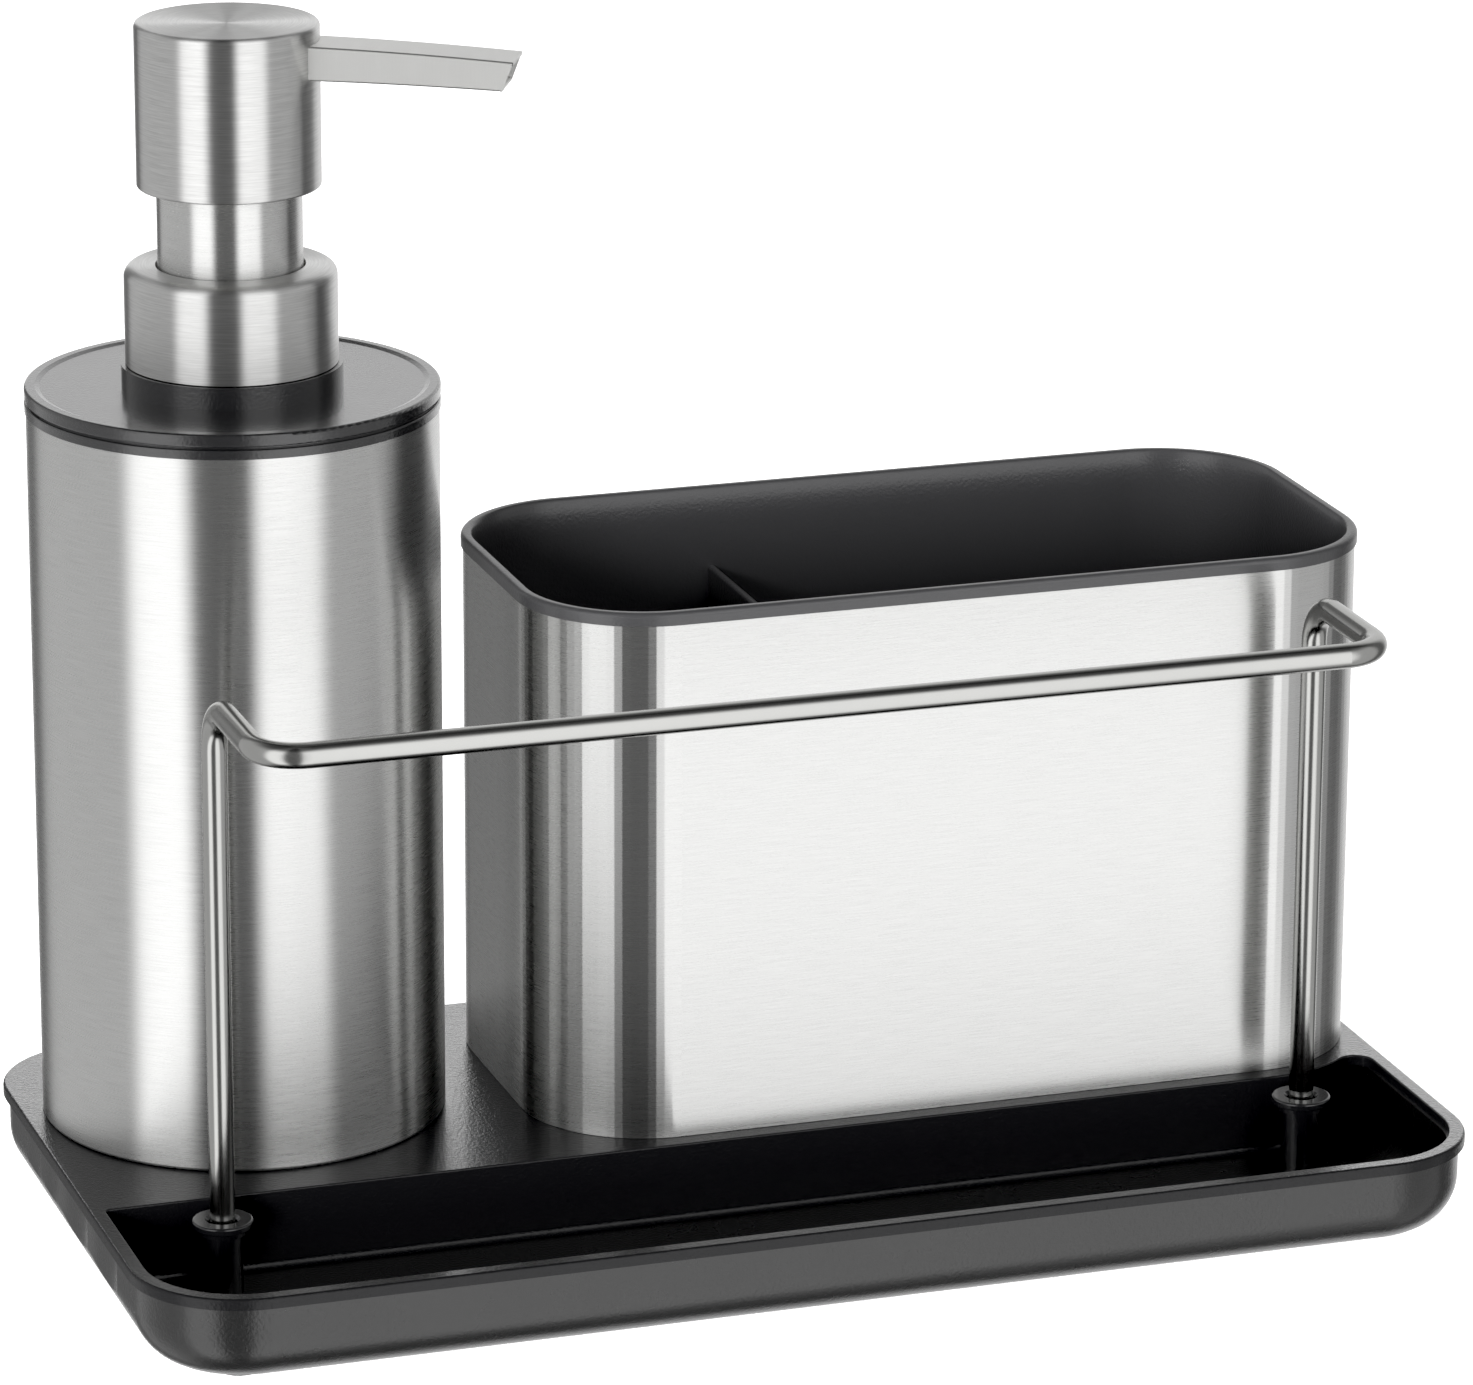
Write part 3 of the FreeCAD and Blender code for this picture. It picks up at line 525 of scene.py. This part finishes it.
def turned(name, outline):
    """Ring extruded from point to point of an outline of radius and height pairs."""
    begin()
    radius, z = outline[0]
    bpy.ops.mesh.primitive_circle_add(vertices=turn_sides, radius=radius, location=(axis.x, axis.y, z))
    piece = bpy.context.object
    piece.name = name
    bpy.ops.object.transform_apply(location=True, rotation=False, scale=False)
    edit(piece)
    bpy.ops.mesh.select_all(action="SELECT")
    for next_radius, next_z in outline[1:]:
        bpy.ops.mesh.extrude_edges_move(TRANSFORM_OT_translate={"value": (0, 0, next_z - z)})
        grow = next_radius / radius
        bpy.ops.transform.resize(value=(grow, grow, 1.0), center_override=(axis.x, axis.y, next_z))
        radius = next_radius
        z = next_z
    return piece


def round_ring(piece, radius, z, size, steps):
    """Round the ring of edges at one radius and height."""
    bpy.ops.mesh.select_mode(type="EDGE")
    bpy.ops.mesh.select_all(action="DESELECT")
    pick_edges(piece, lambda co: abs(from_axis(co) - radius) < same_place and abs(co.z - z) < same_place)
    bpy.ops.mesh.bevel(offset=size, segments=steps, affect="EDGES")


def close_outline(piece, *pole_levels):
    """Merge the last ring with the first and small rings at poles to points, and face outwards."""
    for level in pole_levels:
        pick_edges(piece, lambda co: from_axis(co) < pole_reach and abs(co.z - level) < same_place)
        bpy.ops.mesh.merge(type="CENTER")
    bpy.ops.mesh.select_all(action="SELECT")
    bpy.ops.mesh.remove_doubles(threshold=merge_reach)
    bpy.ops.mesh.normals_make_consistent(inside=False)


def turned_map(piece, radius):
    """Map with U round the bottle's axis and V along the outline, both in millimetres."""
    layer = piece.data.uv_layers.new(name="brush")
    for face in piece.data.polygons:
        middle = face.center - axis
        start = math.atan2(middle.y, middle.x)
        for corner in face.loop_indices:
            spot = piece.data.vertices[piece.data.loops[corner].vertex_index].co - axis
            reach = math.hypot(spot.x, spot.y)
            turn = math.atan2(spot.y, spot.x) - start if reach > pole_reach else 0.0
            turn = (turn + math.pi) % (2 * math.pi) - math.pi
            layer.data[corner].uv = ((start + turn) * radius / mm, (spot.z - reach) / mm)


shell = turned("bottle_shell_tube", [
    (shell_r - shell_foot, shell_low.z), (shell_r, shell_low.z), (shell_r, shell_high.z),
    (shell_in_r, shell_high.z), (shell_in_r, shell_low.z + shell_wall),
    (shell_r - shell_foot, shell_low.z + shell_wall), (shell_r - shell_foot, shell_low.z)])
close_outline(shell)
round_ring(shell, shell_r, shell_low.z, shell_foot_rounding, shell_foot_steps)
round_ring(shell, shell_r, shell_high.z, shell_edge, edge_steps)
settle(shell)
turned_map(shell, shell_r)

# Brushing round the tube draws each softbox out to an upright band, with fine level lines in it.
turned_tube = brushed_steel("brushed stainless tube", tube_colour, rough=0.28, contrast=0.16)
dress(shell, turned_tube, "brushed_stainless", "bottle", "bottle_shell")

# Bottle container and lid: black polypropylene, moulded in a smoother tool than the tray's. The lid with
# its neck and boss plugs into the container, whose band shows as a black ring under the lid.
lid_rough = 0.2

# The smooth skin gives a grey sheen on the flat top, and the boss mirrors the studio in soft bands.
lid_black = moulded_plastic(
    "smooth black polypropylene", satin_black_colour, rough=lid_rough, grain_mm=tool_grain_mm,
    grain_depth_mm=0.14, skin=1.0)
paint(lid_black, "bottle_container", "bottle_lid")

# Pump inside the bottle: housing, guide, stem and dip tube moulded in natural polypropylene, a softer
# grey piston, a steel ball on its seat and a rubber gasket. They push together and hang from the neck.
natural_colour = "e2e1da"
seal_colour = "6a6b6e"
inner_grain_mm = 0.6

# Natural polypropylene gives a milky white, and polyethylene a waxy grey.
natural = moulded_plastic(
    "natural polypropylene", natural_colour, rough=0.42, grain_mm=inner_grain_mm, grain_depth_mm=0.01)
seal_grey = moulded_plastic(
    "grey polyethylene", seal_colour, rough=0.4, grain_mm=inner_grain_mm, grain_depth_mm=0.01)
paint(natural, "pump_housing", "pump_guide", "dip_tube", "pump_stem")
paint(seal_grey, "pump_piston")
paint(rubber, "neck_gasket")
paint(bright_steel, "check_ball")

# Return spring: hard-drawn steel wire wound in six turns. It stands on a ledge in the pump's cylinder,
# under the piston, and closes up as the pump is pressed.
spring_colour = "b4b3b0"
spring_turns = 6
spring_wire = 0.8 * mm
spring_wire_sides = 10
spring_steps = 28
spring_low, spring_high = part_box("return_spring")
spring_r = (spring_high.x - spring_low.x - spring_wire) / 2
begin()
bpy.ops.mesh.primitive_circle_add(
    vertices=spring_wire_sides, radius=spring_wire / 2, fill_type="NGON",
    location=(spring_r, 0, 0), rotation=(math.pi / 2, 0, 0))
spring = bpy.context.object
spring.name = "return_spring_coil"
bpy.ops.object.transform_apply(location=True, rotation=True, scale=False)
coil = spring.modifiers.new("coil", "SCREW")
coil.axis = "Z"
coil.iterations = spring_turns
coil.steps = spring_steps
coil.render_steps = spring_steps
coil.screw_offset = (spring_high.z - spring_low.z - spring_wire) / spring_turns
bpy.ops.object.modifier_apply(modifier="coil")
spring.location = (axis.x, axis.y, spring_low.z + spring_wire / 2)
bpy.ops.object.transform_apply(location=True, rotation=False, scale=False)
settle(spring)

# Drawn wire gives a duller shine than the polished rail.
spring_steel = polished_steel("drawn spring steel", spring_colour, rough=0.3)
dress(spring, spring_steel, "spring_steel", "pump", "return_spring")
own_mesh(spring)

# Collar: a cap deep-drawn from stainless sheet, with a soft shoulder and a hole for the head's sleeve.
# It is pressed over a moulded insert that screws on the bottle's neck.
cap_colour = "dadad9"
collar_wall = 0.6 * mm
collar_rounding = 1.8 * mm
collar_steps = 10
collar_inner_steps = 6
collar_hole_gap = 0.35 * mm
fine_edge = 0.12 * mm
collar_low, collar_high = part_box("collar_shell")
neck_low, neck_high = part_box("head_sleeve")
neck_r = (neck_high.x - neck_low.x) / 2
collar_r = (collar_high.x - collar_low.x) / 2
collar_in_r = collar_r - collar_wall
collar_hole_r = neck_r + collar_hole_gap
collar_under = collar_high.z - collar_wall
collar = turned("collar_cap", [
    (collar_in_r, collar_low.z), (collar_r, collar_low.z), (collar_r, collar_high.z),
    (collar_hole_r, collar_high.z), (collar_hole_r, collar_under), (collar_in_r, collar_under),
    (collar_in_r, collar_low.z)])
close_outline(collar)
round_ring(collar, collar_r, collar_high.z, collar_rounding, collar_steps)
round_ring(collar, collar_in_r, collar_under, collar_rounding - collar_wall, collar_inner_steps)
round_ring(collar, collar_hole_r, collar_high.z, fine_edge, edge_steps)
round_ring(collar, collar_r, collar_low.z, fine_edge, edge_steps)
settle(collar)
turned_map(collar, collar_r)

# A coarser brush gives the small caps stronger lines, and circles on the flat tops.
turned_cap = brushed_steel("brushed stainless cap", cap_colour, rough=0.31, contrast=0.26)
dress(collar, turned_cap, "brushed_stainless", "collar", "collar_shell")
paint(natural, "collar_insert")

# Head sleeve: a tube drawn from stainless steel and brushed round, pressed on the head's moulded core.
# It runs down into the collar, so that the stem never shows.
neck_wall = 0.6 * mm
neck = turned("head_sleeve_tube", [
    (neck_r - neck_wall, neck_low.z), (neck_r, neck_low.z), (neck_r, neck_high.z),
    (neck_r - neck_wall, neck_high.z), (neck_r - neck_wall, neck_low.z)])
close_outline(neck)
round_ring(neck, neck_r, neck_low.z, fine_edge, edge_steps)
settle(neck)
turned_map(neck, neck_r)
dress(neck, turned_tube, "brushed_stainless", "head", "head_sleeve")
paint(natural, "head_core")

# Head shell: a cap drawn from stainless sheet, brushed in circles on its top and round its side.
# It is pressed on the core, over the upper end of the sleeve, and holds the spout.
head_wall = 0.6 * mm
head_cap = 0.8 * mm
head_rounding = 0.8 * mm
head_steps = 8
head_foot_rounding = 0.4 * mm
head_foot_steps = 4
head_pole = 0.02 * mm
head_low, head_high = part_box("head_shell")
head_under = head_high.z - head_cap
head_r = (head_high.x - head_low.x) / 2
head_in_r = head_r - head_wall
head = turned("head_cap", [
    (head_pole, head_high.z), (head_r, head_high.z), (head_r, head_low.z), (head_in_r, head_low.z),
    (head_in_r, head_under), (head_pole, head_under)])
close_outline(head, head_high.z, head_under)
round_ring(head, head_r, head_high.z, head_rounding, head_steps)
round_ring(head, head_r, head_low.z, head_foot_rounding, head_foot_steps)
settle(head)
turned_map(head, head_r)
dress(head, turned_cap, "brushed_stainless", "head", "head_shell")

# Spout: steel sheet folded to a box that bows and narrows to the tip, cut at a slant, open at the end
# and welded in the head's slot. A plastic insert inside it leads the soap.
spout_colour = "f6f6f4"
spout_angle = math.radians(-26.4)
spout_length = 45.7 * mm
spout_width = 9.16 * mm
spout_top_drop = 2.65 * mm
spout_root_height = 5.62 * mm
spout_tip_drop = 4.17 * mm
spout_tip_height = 4.64 * mm
spout_undercut = 1.74 * mm
spout_top_bow = 0.4 * mm
spout_low_bow = 0.28 * mm
spout_wall = 0.6 * mm
spout_edge = 0.45 * mm
spout_edge_steps = 4
spout_seat = 0.2 * mm
spout_steps = 16
spout_long_edge = 0.5 * mm
spout_root = math.sqrt(head_in_r ** 2 - (spout_width / 2) ** 2) - spout_seat
root_top = head_high.z - spout_top_drop
root_low = root_top - spout_root_height
tip_low = head_high.z - spout_tip_drop - spout_tip_height


def spout_levels(x):
    """Top and bottom of the spout at a distance from the head's axis."""
    far = x / spout_length
    top = root_top + far * (spout_top_drop - spout_tip_drop) + 4 * spout_top_bow * far * (1 - far)
    far = x / (spout_length - spout_undercut)
    low = root_low + far * (tip_low - root_low) + 4 * spout_low_bow * far * (1 - far)
    return top, low


# The box is drawn out along X in short steps, slanted at the tip, opened, rounded and turned into place
begin()
top, low = spout_levels(spout_root)
bpy.ops.mesh.primitive_plane_add(
    size=1.0, location=(spout_root, 0, (top + low) / 2), rotation=(0, math.pi / 2, 0))
spout = bpy.context.object
spout.name = "spout_box"
spout.scale = (top - low, spout_width, 1.0)
bpy.ops.object.transform_apply(location=True, rotation=True, scale=True)
edit(spout, "FACE")
bpy.ops.mesh.select_all(action="SELECT")
x = spout_root
for step in range(1, spout_steps + 1):
    next_x = spout_root + (spout_length - spout_root) * step / spout_steps
    next_top, next_low = spout_levels(next_x)
    rise = (next_top + next_low - top - low) / 2
    bpy.ops.mesh.extrude_region_move(TRANSFORM_OT_translate={"value": (next_x - x, 0, rise)})
    bpy.ops.transform.resize(
        value=(1.0, 1.0, (next_top - next_low) / (top - low)),
        center_override=(next_x, 0, (next_top + next_low) / 2))
    x, top, low = next_x, next_top, next_low
bpy.ops.mesh.select_mode(type="EDGE")
bpy.ops.mesh.select_all(action="DESELECT")
pick_edges(spout, lambda co: abs(co.x - spout_length) < same_place and co.z < (top + low) / 2)
bpy.ops.transform.translate(value=(-spout_undercut, 0, tip_low - low))
bpy.ops.mesh.select_mode(type="FACE")
bpy.ops.mesh.select_all(action="SELECT")
bpy.ops.mesh.normals_make_consistent(inside=False)
pick_faces(spout, lambda face: face.normal.x < -0.9
           or (face.normal.x > 0.5 and face.center.x > spout_length / 2))
bpy.ops.mesh.delete(type="FACE")
bpy.ops.mesh.select_mode(type="EDGE")
bpy.ops.mesh.select_all(action="DESELECT")
pick_runs(spout, lambda start, end: abs(start.x - end.x) > spout_long_edge)
bpy.ops.mesh.bevel(offset=spout_edge, segments=spout_edge_steps, affect="EDGES")
bpy.ops.object.mode_set(mode="OBJECT")
thicken(spout, spout_wall)
settle(spout)
layer = spout.data.uv_layers.new(name="brush")
for corner in spout.data.loops:
    spot = spout.data.vertices[corner.vertex_index].co
    layer.data[corner.index].uv = ((spot.y - spot.z) / mm, spot.x / mm)
spout.location = axis
spout.rotation_euler = (0, 0, spout_angle)
begin()
spout.select_set(True)
bpy.ops.object.transform_apply(location=True, rotation=True, scale=False)

# A fine brush across the box gives an even pale grey with hardly a line in it.
satin_box = brushed_steel("satin stainless sheet", spout_colour, rough=0.55, contrast=0.03)
dress(spout, satin_box, "brushed_stainless", "head", "spout_shell")
paint(seal_grey, "spout_insert")

# Studio floor: matt white card that glows a little, so that it stays white to the picture's edge and
# still takes a soft shadow. The object doesn't mirror it.
floor_colour = "fafafa"
lamp_colour = "ffffff"
floor_size = 12.0
floor_glow = 0.62
begin()
bpy.ops.mesh.primitive_plane_add(size=floor_size, location=(0, 0, 0))
floor = bpy.context.object
floor.name = "studio_floor"
floor.visible_glossy = False
floor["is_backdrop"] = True
white_floor, tree = new_finish("matt white floor")
shader = add(tree, "ShaderNodeBsdfPrincipled", None, {
    "Base Color": linear(floor_colour), "Roughness": 0.9,
    "Emission Color": linear(lamp_colour), "Emission Strength": floor_glow})
show(tree, shader)
floor.data.materials.append(white_floor)

# Bounce card: white card laid over the trough while the steel is lit, so that the holder's foot mirrors
# white and not the black trough. Only the sleeve mirrors it, and only from above.
card_level = 1.25
card_gap = 3.0 * mm
card_lift = 0.4 * mm
card_front = cad_low.y + card_gap
card_back = sleeve_low.y - card_gap
card_left = sleeve_low.x + sleeve_corner
# A Mix Shader has two sockets of one name, so its sockets go by their number
mix_share, mix_first, mix_second = 0, 1, 2
begin()
bpy.ops.mesh.primitive_plane_add(size=1.0, location=(
    (card_left + sleeve_high.x) / 2, (card_front + card_back) / 2, sleeve_low.z + card_lift))
card = bpy.context.object
card.name = "studio_bounce_card"
card.scale = (sleeve_high.x - card_left, card_back - card_front, 1.0)
bpy.ops.object.transform_apply(location=True, rotation=False, scale=True)
card.visible_camera = False
card.visible_diffuse = False
card.visible_shadow = False
card.visible_transmission = False
mirrors_card = bpy.data.collections.new("mirrors the card")
mirrors_card.objects.link(sleeve)
card.light_linking.receiver_collection = mirrors_card
card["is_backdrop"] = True
white_card, tree = new_finish("white bounce card")
side = add(tree, "ShaderNodeNewGeometry")
glow = add(tree, "ShaderNodeEmission", None, {"Color": linear(lamp_colour), "Strength": card_level})
clear = add(tree, "ShaderNodeBsdfTransparent")
shader = add(tree, "ShaderNodeMixShader", None, {
    mix_share: side.outputs["Backfacing"], mix_first: glow.outputs[0], mix_second: clear.outputs[0]})
show(tree, shader)
card.data.materials.append(white_card)

# Studio walls: a ring of softboxes and dark flags round the object, each from one angle to another with
# its brightness, which the brushed steel draws out to upright bands. The walls fade out overhead and
# below, and the camera itself sees a plain white backdrop.
room_level = 0.64
panels = [
    (-180, -160, 0.2), (-72, -46, 1.75), (-36, -8, 0.19), (1, 16, 1.7), (17, 31, 1.65), (92, 112, 0.17),
    (132, 180, 0.92)]
panel_fade = 9.0
fall_start = math.sin(math.radians(34))
fall_end = math.sin(math.radians(68))
overhead_share = 0.12
rise_start = -math.sin(math.radians(82))
rise_end = -math.sin(math.radians(56))
underfoot_share = 0.15
stops = {}
for start, end, level in panels:
    stops[start] = level
    stops[end] = level
    if start > -180 and not any(start - 2 * panel_fade < other < start for _, other, _ in panels):
        stops[start - panel_fade] = room_level
    if end < 180 and not any(end < other < end + 2 * panel_fade for other, _, _ in panels):
        stops[end + panel_fade] = room_level
world = bpy.data.worlds.new("studio")
bpy.context.scene.world = world
world.use_nodes = True
tree = world.node_tree
tree.nodes.clear()
place = add(tree, "ShaderNodeTexCoord")
turn = add(tree, "ShaderNodeMapping", None, {
    "Vector": place.outputs["Generated"], "Rotation": (0, 0, math.pi / 2)})
round_about = add(tree, "ShaderNodeTexGradient", {"gradient_type": "RADIAL"}, {
    "Vector": turn.outputs["Vector"]})
ring = add(tree, "ShaderNodeValToRGB", None, {"Fac": round_about.outputs["Fac"]})
for i, angle in enumerate(sorted(stops)):
    spot = angle / 360 + 0.5
    stop = ring.color_ramp.elements[i] if i < 2 else ring.color_ramp.elements.new(spot)
    stop.position = spot
    stop.color = [stops[angle]] * 3 + [1.0]
height = add(tree, "ShaderNodeSeparateXYZ", None, {"Vector": place.outputs["Generated"]})
fall = add(tree, "ShaderNodeMapRange", {"interpolation_type": "SMOOTHSTEP"}, {
    "Value": height.outputs["Z"], "From Min": fall_start, "From Max": fall_end,
    "To Min": 1.0, "To Max": overhead_share})
rise = add(tree, "ShaderNodeMapRange", {"interpolation_type": "SMOOTHSTEP"}, {
    "Value": height.outputs["Z"], "From Min": rise_start, "From Max": rise_end,
    "To Min": underfoot_share, "To Max": 1.0})
level = add(tree, "ShaderNodeMath", {"operation": "MULTIPLY"}, {
    0: fall.outputs["Result"], 1: rise.outputs["Result"]})
studio = add(tree, "ShaderNodeBackground", None, {
    "Color": ring.outputs["Color"], "Strength": level.outputs["Value"]})
backdrop = add(tree, "ShaderNodeBackground", None, {"Color": linear(lamp_colour), "Strength": 1.0})
path = add(tree, "ShaderNodeLightPath")
mix = add(tree, "ShaderNodeMixShader", None, {
    mix_share: path.outputs["Is Camera Ray"], mix_first: studio.outputs[0],
    mix_second: backdrop.outputs[0]})
add(tree, "ShaderNodeOutputWorld", inputs={"Surface": mix.outputs[0]})

# Lamps: a softbox overhead and one at the front left light the floor and the plastic, and are hidden
# from the steel. One behind lights the tray alone, for the grey sheen between the bottle and the holder.
overhead_size = 1.6
overhead_place = Vector((-0.1, -0.5, 2.2))
overhead_power = 42.0
front_size = 0.5
front_place = Vector((-0.95, -1.3, 0.3))
front_power = 75.0
back_width = 1.6
back_height = 0.6
back_place = Vector((0.55, 1.65, 0.58))
back_power = 7.0


def softbox(name, place, width, height, power):
    """Rectangular lamp at a place, turned to the object."""
    bpy.ops.object.light_add(type="AREA", location=place)
    lamp = bpy.context.object
    lamp.name = name
    lamp.rotation_euler = place.to_track_quat("Z", "Y").to_euler()
    lamp.data.shape = "RECTANGLE"
    lamp.data.size = width
    lamp.data.size_y = height
    lamp.data.energy = power
    return lamp


overhead = softbox("overhead_softbox", overhead_place, overhead_size, overhead_size, overhead_power)
overhead.visible_glossy = False
front = softbox("front_softbox", front_place, front_size, front_size, front_power)
front.visible_glossy = False
back = softbox("back_softbox", back_place, back_width, back_height, back_power)
back.visible_camera = False
lit_from_behind = bpy.data.collections.new("black plastic lit from behind")
for name in ("tray_top", "tray_tub"):
    lit_from_behind.objects.link(nodes[name])
back.light_linking.receiver_collection = lit_from_behind

# Camera: stands where the photograph was taken from, in front, to the left and a little above.
# The black point keeps the darkest plastic as deep as it is in the photograph.
camera_place = Vector((-0.3515, -1.0557, 0.4303))
camera_yaw = math.radians(18.47)
camera_pitch = math.radians(17.23)
camera_roll = math.radians(0.24)
camera_lens_mm = 178.89
camera_sensor_mm = 36.0
black_point = 0.006
bpy.ops.object.camera_add()
camera = bpy.context.object
camera.data.lens = camera_lens_mm
camera.data.sensor_width = camera_sensor_mm
camera.matrix_world = (
    Matrix.Translation(camera_place) @ Matrix.Rotation(-camera_yaw, 4, "Z")
    @ Matrix.Rotation(math.pi / 2 - camera_pitch, 4, "X") @ Matrix.Rotation(camera_roll, 4, "Z"))
bpy.context.scene.camera = camera
view = bpy.context.scene.view_settings
view.view_transform = "Standard"
view.use_curve_mapping = True
view.curve_mapping.black_level = [black_point] * 3
view.curve_mapping.update()

# Size: the box of the dressed part is taken at the end, as the box of the solids was at the start.
low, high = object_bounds()
